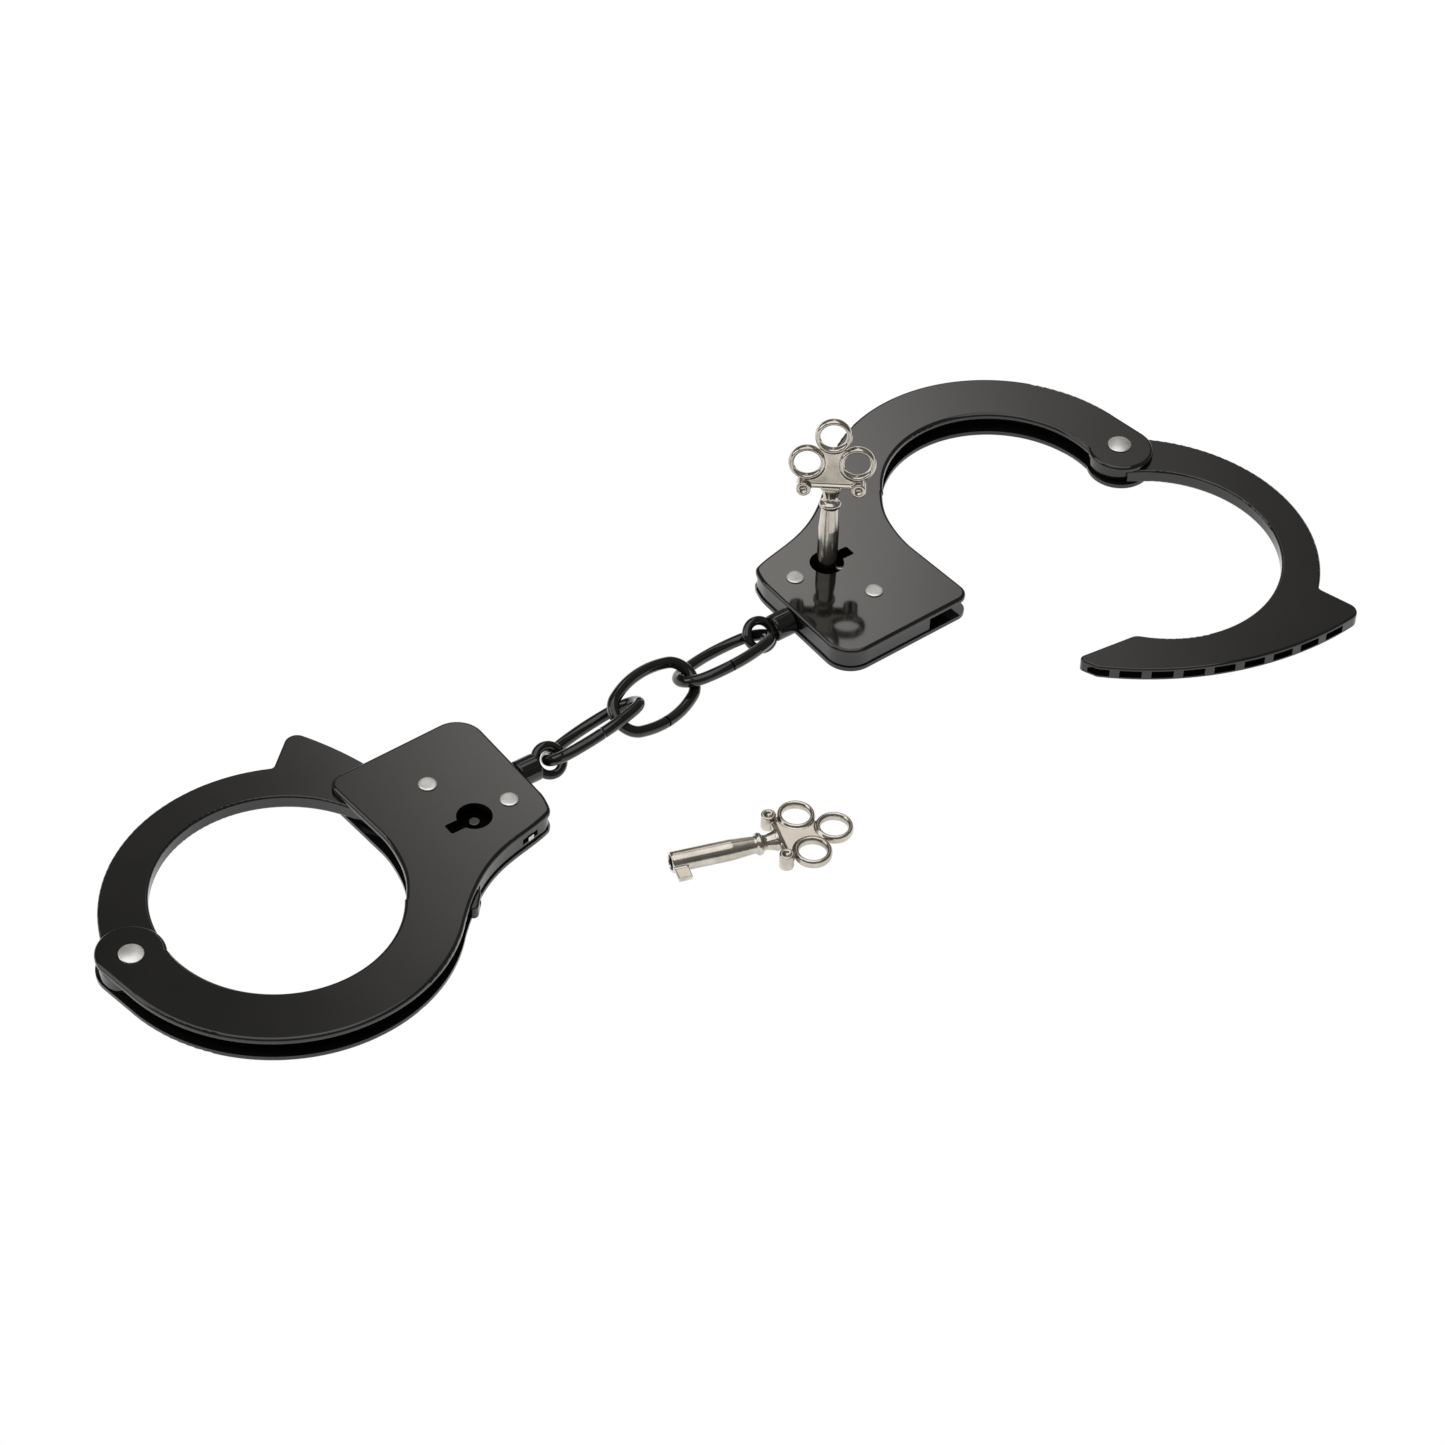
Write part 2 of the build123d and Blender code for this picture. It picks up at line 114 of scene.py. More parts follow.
def makeRoom(v):
    mesh = bpy.data.meshes.new("floor")
    s = v["floorSize"]
    mesh.from_pydata([(-s, -s, 0), (s, -s, 0), (s, s, 0), (-s, s, 0)], [], [(0, 1, 2, 3)])
    floor = bpy.data.objects.new("floor", mesh)
    bpy.context.scene.collection.objects.link(floor)
    mat = bpy.data.materials.new("paleFloor")
    mat.use_nodes = True
    skin = mat.node_tree.nodes["Principled BSDF"]
    skin.inputs["Base Color"].default_value = v["floorColour"]
    skin.inputs["Roughness"].default_value = v["floorRough"]
    skin.inputs["Specular IOR Level"].default_value = v["floorShine"]
    skin.inputs["Emission Color"].default_value = (1, 1, 1, 1)
    skin.inputs["Emission Strength"].default_value = v["floorGlow"]
    mesh.materials.append(mat)
    # the floor lights and mirrors in the object, but never hides a piece that swings below it
    floor.visible_camera = False

    world = bpy.data.worlds.new("softSky")
    bpy.context.scene.world = world
    world.use_nodes = True
    tree = world.node_tree
    new = tree.nodes.new
    join = tree.links.new
    coord = new("ShaderNodeTexCoord")
    split = new("ShaderNodeSeparateXYZ")
    join(coord.outputs["Generated"], split.inputs[0])
    around = new("ShaderNodeMath")
    around.operation = "ARCTAN2"
    join(split.outputs["Y"], around.inputs[0])
    join(split.outputs["X"], around.inputs[1])
    span = new("ShaderNodeMapRange")
    span.inputs["From Min"].default_value = math.radians(v["glowFrom"])
    span.inputs["From Max"].default_value = math.radians(v["glowTo"])
    join(around.outputs[0], span.inputs["Value"])
    ramp = new("ShaderNodeValToRGB")
    ramp.color_ramp.interpolation = "B_SPLINE"
    bar = ramp.color_ramp.elements
    for i, (at, level) in enumerate(v["glowStops"]):
        stop = bar[i] if i < 2 else bar.new(at)
        stop.position = at
        stop.color = [level * part for part in v["glowTint"]] + [1]
    join(span.outputs[0], ramp.inputs[0])
    band = new("ShaderNodeMath")
    band.operation = "MULTIPLY"
    for socket, key in zip(band.inputs, ("glowRise", "glowFall")):
        height = new("ShaderNodeMapRange")
        for label, value in zip(("From Min", "From Max", "To Min", "To Max"), v[key]):
            height.inputs[label].default_value = value
        join(split.outputs["Z"], height.inputs["Value"])
        join(height.outputs[0], socket)
    mask = new("ShaderNodeMix")
    mask.data_type = "RGBA"
    mask.inputs["A"].default_value = (0, 0, 0, 1)
    join(band.outputs[0], mask.inputs["Factor"])
    join(ramp.outputs[0], mask.inputs["B"])
    glow = new("ShaderNodeBackground")
    glow.inputs["Strength"].default_value = v["skyGlow"]
    join(mask.outputs["Result"], glow.inputs["Color"])
    base = new("ShaderNodeBackground")
    base.inputs["Color"].default_value = v["skyColour"]
    base.inputs["Strength"].default_value = v["skyBase"]
    both = new("ShaderNodeAddShader")
    join(glow.outputs[0], both.inputs[0])
    join(base.outputs[0], both.inputs[1])
    plain = new("ShaderNodeBackground")
    plain.inputs["Color"].default_value = (1, 1, 1, 1)
    rays = new("ShaderNodeLightPath")
    seen = new("ShaderNodeMixShader")
    join(rays.outputs["Is Camera Ray"], seen.inputs[0])
    join(both.outputs[0], seen.inputs[1])
    join(plain.outputs[0], seen.inputs[2])
    join(seen.outputs[0], tree.nodes["World Output"].inputs[0])

    for name, place, size, power in v["lamps"]:
        data = bpy.data.lights.new(name, "AREA")
        data.size = size
        data.energy = power
        lamp = bpy.data.objects.new(name, data)
        bpy.context.scene.collection.objects.link(lamp)
        lamp.location = place
        lamp.rotation_mode = "QUATERNION"
        lamp.rotation_quaternion = (-Vector(place)).to_track_quat("-Z", "Y")
    bpy.context.scene.view_settings.view_transform = "Standard"


makeRoom(roomSet)
print("room and camera made")

# one finish for each material slot
finishSet = {
    # each edge colour is laid on sharp turns, partly wear and partly a painted highlight
    "black_enamel": {
        "low": (0.0045, 0.0045, 0.0042, 1), "high": (0.0085, 0.0082, 0.0075, 1), "metallic": 0.0,
        "rough": (0.045, 0.085), "grain": 900.0, "patch": 60.0, "bump": 0.02,
        "edge": (0.02, 0.0195, 0.018, 1),
    },
    "bright_rivet_steel": {
        "low": (0.62, 0.61, 0.59, 1), "high": (0.82, 0.81, 0.79, 1), "metallic": 1.0,
        "rough": (0.34, 0.5), "grain": 2600.0, "patch": 300.0, "bump": 0.08,
        "edge": (0.85, 0.84, 0.82, 1),
    },
    "dark_steel": {
        "low": (0.05, 0.05, 0.05, 1), "high": (0.10, 0.10, 0.10, 1), "metallic": 1.0,
        "rough": (0.25, 0.42), "grain": 1800.0, "patch": 200.0, "bump": 0.1,
        "edge": (0.2, 0.2, 0.2, 1),
    },
    "spring_steel": {
        "low": (0.26, 0.26, 0.27, 1), "high": (0.38, 0.38, 0.39, 1), "metallic": 1.0,
        "rough": (0.25, 0.4), "grain": 2200.0, "patch": 260.0, "bump": 0.06,
        "edge": (0.5, 0.5, 0.5, 1),
    },
    "zinc_plate": {
        "low": (0.42, 0.41, 0.39, 1), "high": (0.56, 0.55, 0.52, 1), "metallic": 1.0,
        "rough": (0.18, 0.32), "grain": 2400.0, "patch": 300.0, "bump": 0.06,
        "edge": (0.88, 0.87, 0.85, 1),
    },
    "nickel_plate": {
        "low": (0.36, 0.33, 0.285, 1), "high": (0.54, 0.505, 0.45, 1), "metallic": 1.0,
        "rough": (0.12, 0.27), "grain": 1700.0, "patch": 240.0, "bump": 0.10,
        "edge": (0.66, 0.63, 0.58, 1),
    },
}

noiseDetail = {"patch": 3.0, "grain": 4.0}
toneSpan = (0.3, 0.72)
# the wear and painted edge highlight start, and are full, where the rounded normal and the true one
# have these dot products
edgeWearAndSheenSet = {"radius": 0.4 * mm, "samples": 4, "startsAt": 0.99, "fullAt": 0.86}
grainDepth = 0.00002
turnSet = {"waves": 42000.0, "strength": 0.22, "depth": 0.00001}


def makeFinish(name, v):
    mat = bpy.data.materials.new(name)
    mat.use_nodes = True
    tree = mat.node_tree
    new = tree.nodes.new
    join = tree.links.new
    skin = tree.nodes["Principled BSDF"]
    skin.inputs["Metallic"].default_value = v["metallic"]
    coord = new("ShaderNodeTexCoord")

    def noise(kind):
        tex = new("ShaderNodeTexNoise")
        tex.inputs["Scale"].default_value = v[kind]
        tex.inputs["Detail"].default_value = noiseDetail[kind]
        join(coord.outputs["Object"], tex.inputs["Vector"])
        return tex.outputs[0]

    patch = noise("patch")
    grain = noise("grain")
    tone = new("ShaderNodeValToRGB")
    for stop, at, key in zip(tone.color_ramp.elements, toneSpan, ("low", "high")):
        stop.color = v[key]
        stop.position = at
    join(patch, tone.inputs[0])
    # paint and plating are painted lighter where the surface turns sharply, partly wear and partly
    # a painted edge highlight
    bevel = new("ShaderNodeBevel")
    bevel.samples = edgeWearAndSheenSet["samples"]
    bevel.inputs["Radius"].default_value = edgeWearAndSheenSet["radius"]
    shape = new("ShaderNodeNewGeometry")
    dot = new("ShaderNodeVectorMath")
    dot.operation = "DOT_PRODUCT"
    join(bevel.outputs[0], dot.inputs[0])
    join(shape.outputs["Normal"], dot.inputs[1])
    wearAndSheenMask = new("ShaderNodeMapRange")
    wearAndSheenMask.inputs["From Min"].default_value = edgeWearAndSheenSet["startsAt"]
    wearAndSheenMask.inputs["From Max"].default_value = edgeWearAndSheenSet["fullAt"]
    join(dot.outputs["Value"], wearAndSheenMask.inputs["Value"])
    wearAndSheenSpots = new("ShaderNodeMath")
    wearAndSheenSpots.operation = "MULTIPLY"
    join(wearAndSheenMask.outputs[0], wearAndSheenSpots.inputs[0])
    join(grain, wearAndSheenSpots.inputs[1])
    mix = new("ShaderNodeMix")
    mix.data_type = "RGBA"
    join(wearAndSheenSpots.outputs[0], mix.inputs["Factor"])
    join(tone.outputs[0], mix.inputs["A"])
    mix.inputs["B"].default_value = v["edge"]
    join(mix.outputs["Result"], skin.inputs["Base Color"])
    rough = new("ShaderNodeMapRange")
    rough.inputs["To Min"].default_value = v["rough"][0]
    rough.inputs["To Max"].default_value = v["rough"][1]
    join(patch, rough.inputs["Value"])
    join(rough.outputs[0], skin.inputs["Roughness"])
    bump = new("ShaderNodeBump")
    bump.inputs["Strength"].default_value = v["bump"]
    bump.inputs["Distance"].default_value = grainDepth
    join(grain, bump.inputs["Height"])
    join(bump.outputs[0], skin.inputs["Normal"])
    return mat


finishes = {name: makeFinish(name, v) for name, v in finishSet.items()}


def addTurning(mat, v):
    # fine rings left by the lathe, read from the radius that the rivet tree stores
    tree = mat.node_tree
    ring = tree.nodes.new("ShaderNodeAttribute")
    ring.attribute_name = "turnRadius"
    wave = tree.nodes.new("ShaderNodeMath")
    wave.operation = "SINE"
    step = tree.nodes.new("ShaderNodeMath")
    step.operation = "MULTIPLY"
    step.inputs[1].default_value = v["waves"]
    bump = tree.nodes.new("ShaderNodeBump")
    bump.inputs["Strength"].default_value = v["strength"]
    bump.inputs["Distance"].default_value = v["depth"]
    tree.links.new(ring.outputs["Fac"], step.inputs[0])
    tree.links.new(step.outputs[0], wave.inputs[0])
    tree.links.new(wave.outputs[0], bump.inputs["Height"])
    skin = tree.nodes["Principled BSDF"]
    old = skin.inputs["Normal"].links[0].from_node
    tree.links.new(old.outputs[0], bump.inputs["Normal"])
    tree.links.new(bump.outputs[0], skin.inputs["Normal"])


addTurning(finishes["bright_rivet_steel"], turnSet)
slotOf = {s["node"]: s["material_slot"] for s in frame["record"]["subparts"]}
for nodeName, piece in nodes.items():
    piece.data.materials.clear()
    piece.data.materials.append(finishes[slotOf[nodeName]])
print("finishes made:", len(finishes))


# each tree is made in a script, run once, and kept as a plain mesh
def newTree(name, inputs):
    tree = bpy.data.node_groups.new(name, "GeometryNodeTree")
    face = tree.interface
    face.new_socket("Geometry", in_out="INPUT", socket_type="NodeSocketGeometry")
    for label, kind in inputs:
        face.new_socket(label, in_out="INPUT", socket_type="NodeSocket" + kind)
    face.new_socket("Geometry", in_out="OUTPUT", socket_type="NodeSocketGeometry")
    return tree, tree.nodes.new("NodeGroupInput"), tree.nodes.new("NodeGroupOutput")


def endTree(tree, start, end, geometry):
    smooth = tree.nodes.new("GeometryNodeSetShadeSmooth")
    real = tree.nodes.new("GeometryNodeRealizeInstances")
    paint = tree.nodes.new("GeometryNodeSetMaterial")
    tree.links.new(geometry, real.inputs[0])
    tree.links.new(real.outputs[0], smooth.inputs[0])
    tree.links.new(smooth.outputs[0], paint.inputs[0])
    tree.links.new(start.outputs["finish"], paint.inputs["Material"])
    tree.links.new(paint.outputs[0], end.inputs[0])


def runTree(name, tree, points, edges, values):
    seed = bpy.data.meshes.new(name + "Seed")
    seed.from_pydata([tuple(p) for p in points], edges, [])
    holder = bpy.data.objects.new(name + "Holder", seed)
    bpy.context.scene.collection.objects.link(holder)
    mod = holder.modifiers.new("shape", "NODES")
    mod.node_group = tree
    sockets = {i.name: i.identifier for i in tree.interface.items_tree if i.in_out == "INPUT"}
    for label, value in values.items():
        mod[sockets[label]] = value
    holder.update_tag()
    bpy.context.view_layer.update()
    graph = bpy.context.evaluated_depsgraph_get()
    mesh = bpy.data.meshes.new_from_object(holder.evaluated_get(graph), depsgraph=graph)
    holder.modifiers.remove(mod)
    bpy.data.objects.remove(holder)
    piece = bpy.data.objects.new(name, mesh)
    bpy.context.scene.collection.objects.link(piece)
    return piece


# a link is one length of wire, bent round until its two ends nearly meet
linkSet = {
    "wireRadius": 1.325 * mm,
    "halfLength": 12.4,
    "halfWidth": 6.15,
    "endRadius": 4.9,
    "jointAt": (-0.9, -1.8, -2.9),
    "jointGap": 0.5,
    "lipSwell": 1.12,
    "lipShare": 0.022,
    "arcSteps": 400,
    "steps": 150,
    "sides": 28,
    # yaw, pitch and roll of each link
    "turns": ((2.6, -6.54, -38.43), (13.06, 6.74, 29.96), (4.66, 2.38, -29.26)),
}


def linkPath(v, jointAt):
    # four tangent arcs, walked from one lip of the butt joint round to the other
    hl, hw, er = v["halfLength"], v["halfWidth"], v["endRadius"]
    cx = hl - er
    sideR = (cx ** 2 + hw ** 2 - er ** 2) / (2 * (hw - er))
    cy = sideR - hw
    ang = math.atan2(cy, cx)
    tx, ty = cx + er * math.cos(ang), er * math.sin(ang)
    side = math.atan2(ty + cy, tx)
    loop = []
    count = v["arcSteps"]
    for i in range(count):
        t = -ang + 2 * ang * i / count
        loop.append(Vector((cx + er * math.cos(t), er * math.sin(t), 0)))
    for i in range(count):
        t = side + (math.pi - 2 * side) * i / count
        loop.append(Vector((sideR * math.cos(t), -cy + sideR * math.sin(t), 0)))
    loop += [-p for p in loop]
    nearSide = [i for i, p in enumerate(loop) if p.y <= 0]
    lip = min(nearSide, key=lambda i: abs(loop[i].x - jointAt))
    loop = loop[lip:] + loop[:lip + 1]
    reach = [0.0]
    for a, b in zip(loop, loop[1:]):
        reach.append(reach[-1] + (b - a).length)
    start, stop = v["jointGap"] / 2, reach[-1] - v["jointGap"] / 2
    path = []
    k = 0
    for i in range(v["steps"] + 1):
        want = start + (stop - start) * i / v["steps"]
        while reach[k + 1] < want:
            k += 1
        part = (want - reach[k]) / max(reach[k + 1] - reach[k], 1e-9)
        path.append(loop[k].lerp(loop[k + 1], part))
    return path


def wireTree():
    tree, start, end = newTree("wireLink", (
        ("wireRadius", "Float"), ("lipSwell", "Float"), ("lipShare", "Float"),
        ("sides", "Int"), ("finish", "Material"),
    ))
    line = tree.nodes.new("GeometryNodeMeshToCurve")
    ring = tree.nodes.new("GeometryNodeCurvePrimitiveCircle")
    sweep = tree.nodes.new("GeometryNodeCurveToMesh")
    sweep.inputs["Fill Caps"].default_value = True
    # the wire is pinched a little thicker at its two cut ends
    along = tree.nodes.new("GeometryNodeSplineParameter")
    away = tree.nodes.new("ShaderNodeMath")
    away.operation = "PINGPONG"
    away.inputs[1].default_value = 0.5
    swell = tree.nodes.new("ShaderNodeMapRange")
    swell.inputs["To Max"].default_value = 1.0
    thick = tree.nodes.new("GeometryNodeSetCurveRadius")
    tree.links.new(start.outputs["Geometry"], line.inputs[0])
    tree.links.new(along.outputs["Factor"], away.inputs[0])
    tree.links.new(away.outputs[0], swell.inputs["Value"])
    tree.links.new(start.outputs["lipShare"], swell.inputs["From Max"])
    tree.links.new(start.outputs["lipSwell"], swell.inputs["To Min"])
    tree.links.new(line.outputs[0], thick.inputs[0])
    tree.links.new(swell.outputs[0], thick.inputs["Radius"])
    tree.links.new(start.outputs["wireRadius"], ring.inputs["Radius"])
    tree.links.new(start.outputs["sides"], ring.inputs["Resolution"])
    tree.links.new(thick.outputs[0], sweep.inputs[0])
    tree.links.new(ring.outputs[0], sweep.inputs["Profile Curve"])
    endTree(tree, start, end, sweep.outputs[0])
    return tree


linkTree = wireTree()
for i, (yaw, pitch, roll) in enumerate(linkSet["turns"]):
    path = linkPath(linkSet, linkSet["jointAt"][i])
    low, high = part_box("chain_link_%d" % (i + 1))
    turn = Matrix.Rotation(math.radians(yaw), 4, "Z")
    turn = turn @ Matrix.Rotation(math.radians(pitch), 4, "Y")
    turn = Matrix.Translation((low + high) / 2) @ turn @ Matrix.Rotation(math.radians(roll), 4, "X")
    points = [turn @ (p * mm) for p in path]
    edges = [(k, k + 1) for k in range(len(points) - 1)]
    values = {k: linkSet[k] for k in ("wireRadius", "lipSwell", "lipShare", "sides")}
    values["finish"] = finishes["black_enamel"]
    link = runTree("wireLink%d" % (i + 1), linkTree, points, edges, values)
    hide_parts("chain_link_%d" % (i + 1))
    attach(link, "link_%d_body" % (i + 1))
print("chain links made")

# rivet heads carry a shallow dome and fine turning rings
rivetSet = {
    "cuffTop": 6.5 * mm,
    "tailGap": 0.02 * mm,
    "sides": 64,
    "headRings": 16,
    "shankRings": 2,
    "domeFrom": 0.9,
    "pivot": {
        "headRadius": 2.75, "shankRadius": 2.0, "headDepth": 0.24, "dome": 0.36, "domePower": 2.0,
    },
    "lock": {
        "headRadius": 2.05, "shankRadius": 1.2, "headDepth": 0.22, "dome": 0.14, "domePower": 7.0,
    },
    "lockPlaces": ((78.25, 7.8), (90.25, -5.8)),
    "yaw": {"left": -2.64, "right": 178.02},
}


def rivetTree(v):
    sizes = ("headRadius", "shankRadius", "headDepth", "shankDepth", "dome", "domePower")
    inputs = [(s, "Float") for s in sizes] + [("finish", "Material")]
    tree, start, end = newTree("turnedRivet", inputs)
    new = tree.nodes.new
    join = tree.links.new

    def calc(operation, a, b):
        node = new("ShaderNodeMath")
        node.operation = operation
        for socket, value in zip(node.inputs, (a, b)):
            if isinstance(value, (int, float)):
                socket.default_value = value
            else:
                join(value, socket)
        return node.outputs[0]

    def rod(radius, depth, rings, centre):
        node = new("GeometryNodeMeshCylinder")
        node.inputs["Vertices"].default_value = v["sides"]
        node.inputs["Side Segments"].default_value = 2
        node.inputs["Fill Segments"].default_value = rings
        join(start.outputs[radius], node.inputs["Radius"])
        join(start.outputs[depth], node.inputs["Depth"])
        lift = new("ShaderNodeCombineXYZ")
        join(centre, lift.inputs["Z"])
        move = new("GeometryNodeTransform")
        join(node.outputs["Mesh"], move.inputs[0])
        join(lift.outputs[0], move.inputs["Translation"])
        return move.outputs[0]

    above = calc("MULTIPLY", start.outputs["headDepth"], 0.5)
    head = rod("headRadius", "headDepth", v["headRings"], above)
    below = calc("MULTIPLY", start.outputs["shankDepth"], -0.5)
    shank = rod("shankRadius", "shankDepth", v["shankRings"], below)
    spot = new("GeometryNodeInputPosition")
    axes = new("ShaderNodeSeparateXYZ")
    join(spot.outputs[0], axes.inputs[0])
    squares = [calc("POWER", axes.outputs[i], 2.0) for i in range(2)]
    flat = calc("SQRT", calc("ADD", *squares), 0.0)
    share = calc("DIVIDE", flat, start.outputs["headRadius"])
    bowl = calc("POWER", calc("MINIMUM", share, 1.0), start.outputs["domePower"])
    rise = calc("SUBTRACT", 1.0, bowl)
    # only the upper face of the head is domed
    level = calc("MULTIPLY", start.outputs["headDepth"], v["domeFrom"])
    top = calc("GREATER_THAN", axes.outputs[2], level)
    shift = new("ShaderNodeCombineXYZ")
    raised = calc("MULTIPLY", calc("MULTIPLY", rise, top), start.outputs["dome"])
    join(raised, shift.inputs["Z"])
    domed = new("GeometryNodeSetPosition")
    join(head, domed.inputs[0])
    join(shift.outputs[0], domed.inputs["Offset"])
    both = new("GeometryNodeJoinGeometry")
    join(domed.outputs[0], both.inputs[0])
    join(shank, both.inputs[0])
    keep = new("GeometryNodeStoreNamedAttribute")
    keep.data_type = "FLOAT"
    keep.domain = "POINT"
    keep.inputs["Name"].default_value = "turnRadius"
    join(both.outputs[0], keep.inputs[0])
    join(flat, keep.inputs["Value"])
    spread = new("GeometryNodeInstanceOnPoints")
    join(start.outputs["Geometry"], spread.inputs["Points"])
    join(keep.outputs[0], spread.inputs["Instance"])
    endTree(tree, start, end, spread.outputs[0])
    return tree


headTree = rivetTree(rivetSet)
for side in ("left", "right"):
    low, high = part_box(side + "_pivot_rivet")
    pivot = Vector(((low.x + high.x) / 2, (low.y + high.y) / 2, rivetSet["cuffTop"]))
    turn = Matrix.Rotation(math.radians(rivetSet["yaw"][side]), 4, "Z")
    locks = [pivot + turn @ Vector((x * mm, y * mm, 0)) for x, y in rivetSet["lockPlaces"]]
    spots = {"pivot": [pivot], "lock": locks}
    for kind, nodeEnd in (("pivot", "_pivot_rivet"), ("lock", "_lock_rivets")):
        values = {k: s * (1 if k == "domePower" else mm) for k, s in rivetSet[kind].items()}
        values["shankDepth"] = rivetSet["cuffTop"] - rivetSet["tailGap"]
        values["finish"] = finishes["bright_rivet_steel"]
        heads = runTree(side + "TurnedRivet_" + kind, headTree, spots[kind], [], values)
        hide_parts(side + nodeEnd)
        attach(heads, side + "_cuff")
print("rivets made")

# a key is made in millimetres about its own axis, then placed twice
keySet = {
    # radius and height, from the crossbar down to the tip
    "barrel": ((0, 24.1), (2.4, 24.1), (2.4, 23.75), (1.62, 21.3), (1.8, 20.75)),
    "beadCentre": (1.8, 19.8),
    "beadRadius": 0.75,
    "beadFrom": 80,
    "beadStep": 16,
    "beadCount": 11,
    "tube": ((1.9, 18.9), (2.34, 13.5), (2.34, 0.3), (2.14, 0), (1.68, 0), (1.68, 9), (0, 9)),
    "turnSides": 80,
    "flutes": 10,
    "fluteDepth": 0.1,
    "fluteBand": (21.35, 23.74),
    "collarSteps": 9,
    "collarCurve": 0.75,
    "rings": ((-5.65, 30.2), (5.65, 30.2), (0, 37.0)),
    "ringRadius": 3.6,
    "ringWide": 0.65,
    "ringThick": 1.1,
    "webHalf": 0.5,
    "holeSides": 64,
    "ringSides": (22, 72),
    "crossAt": 24.1,
    "barLift": 0.35,
    "barRadius": 0.55,
    "barStretch": 1.95,
    "barSides": 20,
    "bossAt": 6.2,
    "bossRadius": 1.65,
    "bossLength": 3.8,
    "bossSides": 48,
    "dimple": 0.95,
    "dimpleOut": 0.3,
    "dimpleSides": (32, 20),
    # inner and outer reach, half thickness, lower and upper edge
    "bit": (1.85, 5.6, 0.5, 0.15, 3.25),
    "voxel": 0.16,
    "softFactor": 0.5,
    "softPasses": 2,
}


def lathe(bm, profile, sides, flutes, depth, band):
    # profile starts and ends on the axis, so the form is closed
    rings = []
    for r, z in profile:
        if r < 1e-6:
            rings.append([bm.verts.new((0, 0, z))])
            continue
        ring = []
        for i in range(sides):
            t = 2 * math.pi * i / sides
            cut = depth * (0.5 + 0.5 * math.cos(flutes * t)) if band[0] < z < band[1] else 0.0
            out = r - r * cut
            ring.append(bm.verts.new((out * math.cos(t), out * math.sin(t), z)))
        rings.append(ring)
    for a, b in zip(rings, rings[1:]):
        for i in range(sides):
            j = (i + 1) % sides
            corners = [a[i % len(a)], a[j % len(a)], b[j % len(b)], b[i % len(b)]]
            corners = list(dict.fromkeys(corners))
            if len(corners) > 2:
                bm.faces.new(corners)


def addRing(bm, centre, v):
    across, along = v["ringSides"]
    grid = []
    for i in range(along):
        t = 2 * math.pi * i / along
        row = []
        for j in range(across):
            p = 2 * math.pi * j / across
            r = v["ringRadius"] + v["ringWide"] * math.cos(p)
            x, z = centre[0] + r * math.cos(t), centre[1] + r * math.sin(t)
            row.append(bm.verts.new((x, v["ringThick"] * math.sin(p), z)))
        grid.append(row)
    for i in range(along):
        for j in range(across):
            here, ahead = grid[i], grid[(i + 1) % along]
            k = (j + 1) % across
            bm.faces.new((here[j], ahead[j], ahead[k], here[k]))


def addPrism(bm, outline, half):
    front = [bm.verts.new((x, -half, z)) for x, z in outline]
    back = [bm.verts.new((x, half, z)) for x, z in outline]
    bm.faces.new(front)
    bm.faces.new(list(reversed(back)))
    for i in range(len(outline)):
        j = (i + 1) % len(outline)
        bm.faces.new((front[j], front[i], back[i], back[j]))


def closedObject(name, fill):
    bm = bmesh.new()
    fill(bm)
    bmesh.ops.remove_doubles(bm, verts=bm.verts, dist=1e-5)
    bmesh.ops.recalc_face_normals(bm, faces=bm.faces)
    mesh = bpy.data.meshes.new(name)
    bm.to_mesh(mesh)
    bm.free()
    made = bpy.data.objects.new(name, mesh)
    bpy.context.scene.collection.objects.link(made)
    return made


def applied(obj):
    bpy.context.view_layer.update()
    graph = bpy.context.evaluated_depsgraph_get()
    mesh = bpy.data.meshes.new_from_object(obj.evaluated_get(graph), depsgraph=graph)
    obj.modifiers.clear()
    obj.data = mesh


def cutBy(obj, tool):
    cut = obj.modifiers.new("cut", "BOOLEAN")
    cut.operation = "DIFFERENCE"
    cut.solver = "EXACT"
    cut.object = tool
    applied(obj)
    bpy.data.objects.remove(tool)


def circlePoints(cx, cz, r, count):
    turns = [2 * math.pi * i / count for i in range(count)]
    return [(cx + r * math.cos(t), cz + r * math.sin(t)) for t in turns]


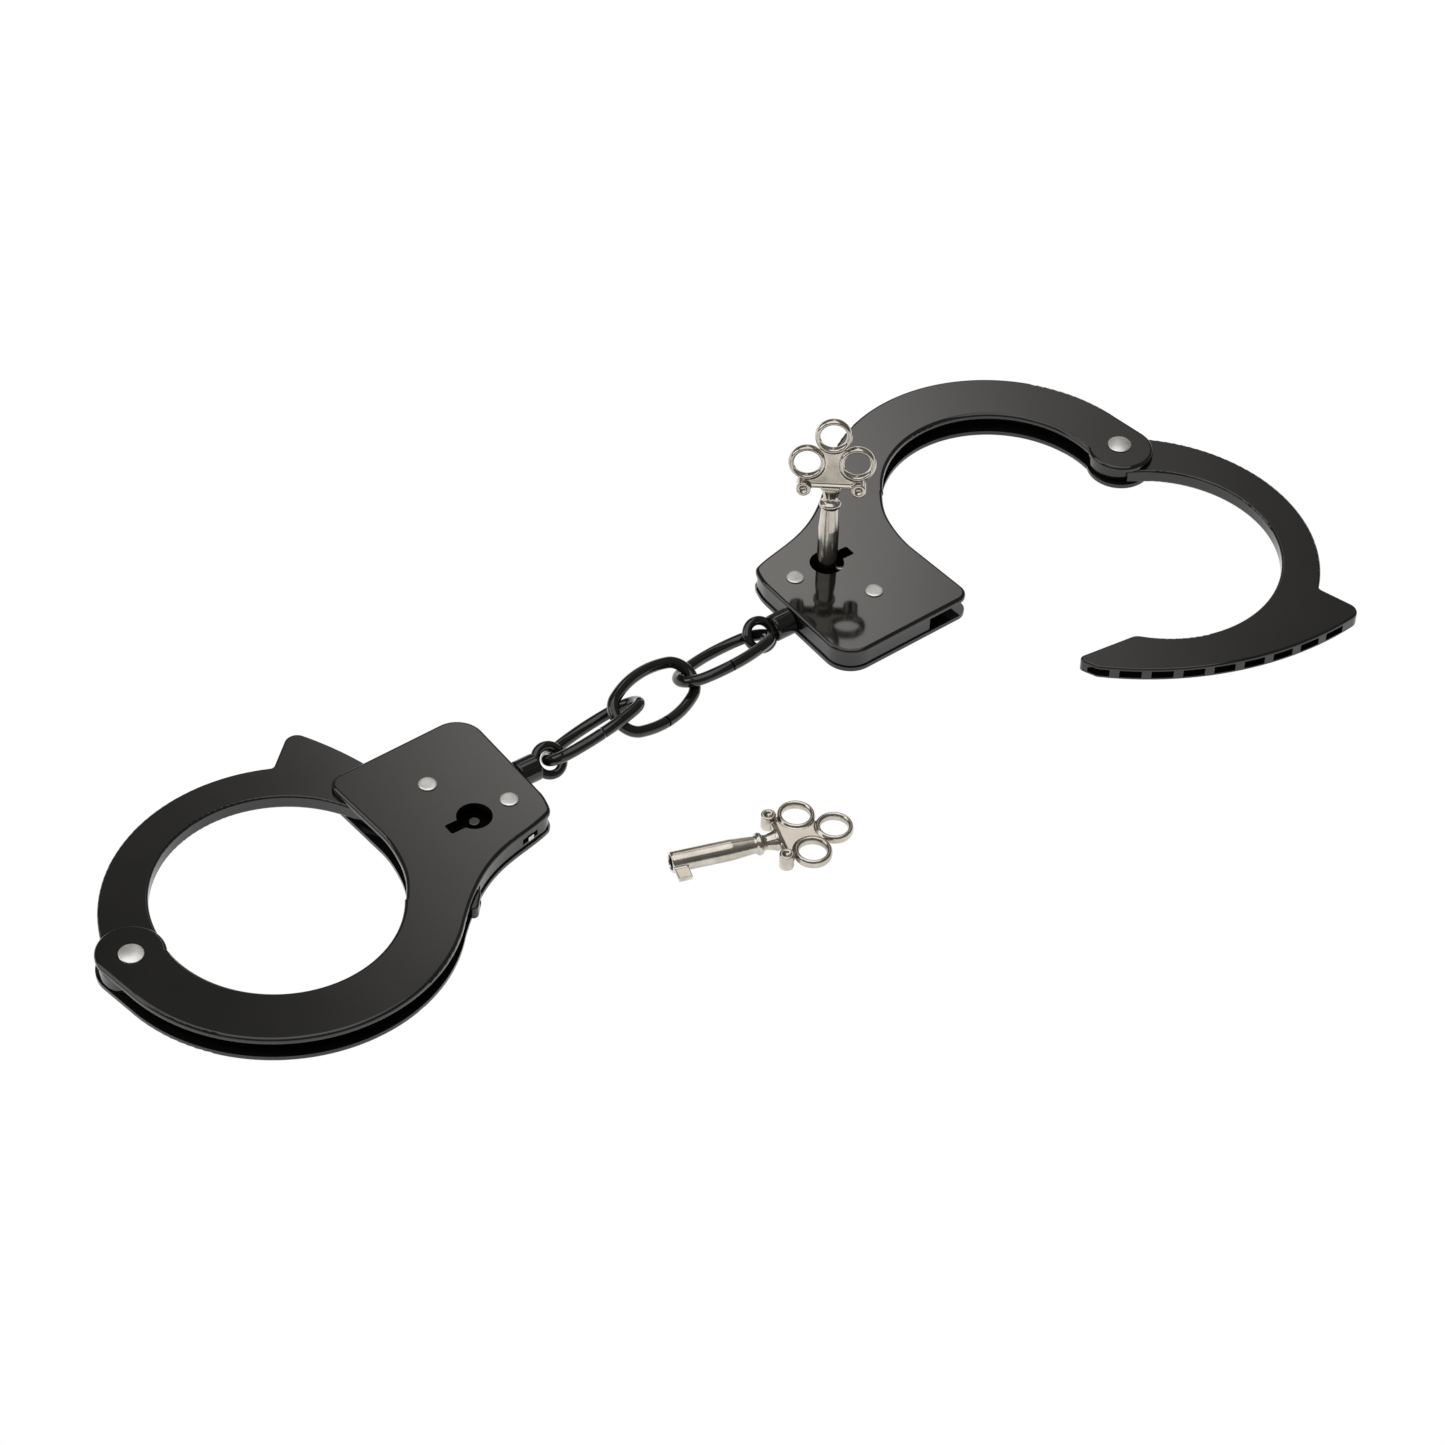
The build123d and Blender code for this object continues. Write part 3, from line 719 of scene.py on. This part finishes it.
def keyMesh(v):
    bx, bz = v["beadCentre"]
    bead = [(bx + v["beadRadius"] * math.cos(a), bz + v["beadRadius"] * math.sin(a))
            for a in (math.radians(v["beadFrom"] - v["beadStep"] * i)
                      for i in range(v["beadCount"]))]
    collar = []
    (r0, z0), (r1, z1) = v["barrel"][2], v["barrel"][3]
    for i in range(1, v["collarSteps"]):
        s = i / v["collarSteps"]
        collar.append((r0 + (r1 - r0) * s ** v["collarCurve"], z0 + (z1 - z0) * s))
    profile = list(v["barrel"][:3]) + collar + list(v["barrel"][3:]) + bead + list(v["tube"])

    def solidParts(bm):
        lathe(bm, profile, v["turnSides"], v["flutes"], v["fluteDepth"], v["fluteBand"])
        for c in v["rings"]:
            addRing(bm, c, v)

    def bits(bm):
        x0, x1, half, z0, z1 = v["bit"]
        addPrism(bm, ((x0, z0), (x1, z0), (x1, z1), (x0, z1)), half)

    def crossBar(bm):
        sides, height = v["barSides"], v["crossAt"] + v["barLift"]
        ring = circlePoints(0, 0, v["barRadius"], sides)
        ends = []
        for x in (-v["bossAt"], v["bossAt"]):
            ends.append([bm.verts.new((x, y * v["barStretch"], height + z)) for z, y in ring])
        bm.faces.new(ends[0])
        bm.faces.new(list(reversed(ends[1])))
        for i in range(sides):
            j = (i + 1) % sides
            bm.faces.new((ends[0][j], ends[0][i], ends[1][i], ends[1][j]))

    left, right, top = v["rings"]
    outline = [(-v["bossAt"], v["crossAt"]), (v["bossAt"], v["crossAt"]), right, top, left]
    web = closedObject("webPart", lambda bm: addPrism(bm, outline, v["webHalf"]))
    for c in v["rings"]:
        hole = circlePoints(c[0], c[1], v["ringRadius"], v["holeSides"])
        cutBy(web, closedObject("webTool", lambda bm: addPrism(bm, hole, v["ringRadius"])))
    parts = [
        closedObject("turnedPart", solidParts),
        closedObject("bitPart", bits),
        closedObject("barPart", crossBar),
        web,
    ]
    for side in (-1, 1):
        def boss(bm):
            at, height = side * v["bossAt"], v["crossAt"]
            disc = circlePoints(at, height, v["bossRadius"], v["bossSides"])
            addPrism(bm, disc, v["bossLength"] / 2)
        knob = closedObject("bossPart", boss)
        for face in (-1, 1):
            def ball(bm):
                out = face * (v["bossLength"] / 2 + v["dimpleOut"])
                at = Matrix.Translation((side * v["bossAt"], out, v["crossAt"]))
                sides, rows = v["dimpleSides"]
                bmesh.ops.create_uvsphere(
                    bm, u_segments=sides, v_segments=rows, radius=v["dimple"], matrix=at)
            cutBy(knob, closedObject("dimpleTool", ball))
        parts.append(knob)

    whole = bmesh.new()
    for p in parts:
        whole.from_mesh(p.data)
        bpy.data.objects.remove(p)
    mesh = bpy.data.meshes.new("keyForm")
    whole.to_mesh(mesh)
    whole.free()
    cast = bpy.data.objects.new("keyForm", mesh)
    bpy.context.scene.collection.objects.link(cast)
    fuse = cast.modifiers.new("fuse", "REMESH")
    fuse.mode = "VOXEL"
    fuse.voxel_size = v["voxel"]
    fuse.use_smooth_shade = True
    soft = cast.modifiers.new("soft", "SMOOTH")
    soft.factor = v["softFactor"]
    soft.iterations = v["softPasses"]
    applied(cast)
    return cast


keyForm = keyMesh(keySet)


def placeKey(name, node, body, place):
    mesh = keyForm.data.copy()
    mesh.transform(place @ Matrix.Scale(mm, 4))
    mesh.materials.clear()
    mesh.materials.append(finishes["nickel_plate"])
    key = bpy.data.objects.new(name, mesh)
    bpy.context.scene.collection.objects.link(key)
    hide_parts(node)
    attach(key, body)


placeSet = {
    "keyhole": (81.3, -5.8),
    "lockHeight": 3.6,
    "lockTurn": -40.05,
    "lockLean": -12.0,
    "tipHeight": 1.62,
    "spareTip": (-35.077, -27.376, 2.55),
    "spareTurn": -20.0,
}
low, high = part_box("right_pivot_rivet")
rightTurn = Matrix.Rotation(math.radians(rivetSet["yaw"]["right"]), 4, "Z")
holeX, holeY = placeSet["keyhole"]
pivot = Vector(((low.x + high.x) / 2, (low.y + high.y) / 2, 0))
hole = pivot + rightTurn @ Vector((holeX * mm, holeY * mm, 0))
lockPlace = Matrix.Translation((hole.x, hole.y, placeSet["lockHeight"] * mm))
lockPlace = lockPlace @ Matrix.Rotation(math.radians(placeSet["lockTurn"]), 4, "Z")
lockPlace = lockPlace @ Matrix.Rotation(math.radians(placeSet["lockLean"]), 4, "X")
tipDrop = placeSet["tipHeight"] - placeSet["lockHeight"]
lockPlace = lockPlace @ Matrix.Translation((0, 0, tipDrop * mm))
placeKey("turnedKey", "lock_key", "lock_key_body", lockPlace)
sparePlace = Matrix.Translation(Vector(placeSet["spareTip"]) * mm)
sparePlace = sparePlace @ Matrix.Rotation(math.radians(placeSet["spareTurn"]), 4, "Z")
sparePlace = sparePlace @ Matrix.Rotation(math.radians(-90), 4, "X")
sparePlace = sparePlace @ Matrix.Rotation(math.radians(90), 4, "Y")
placeKey("looseKey", "spare_key", "spare_key_body", sparePlace)
bpy.data.objects.remove(keyForm)
print("keys made")
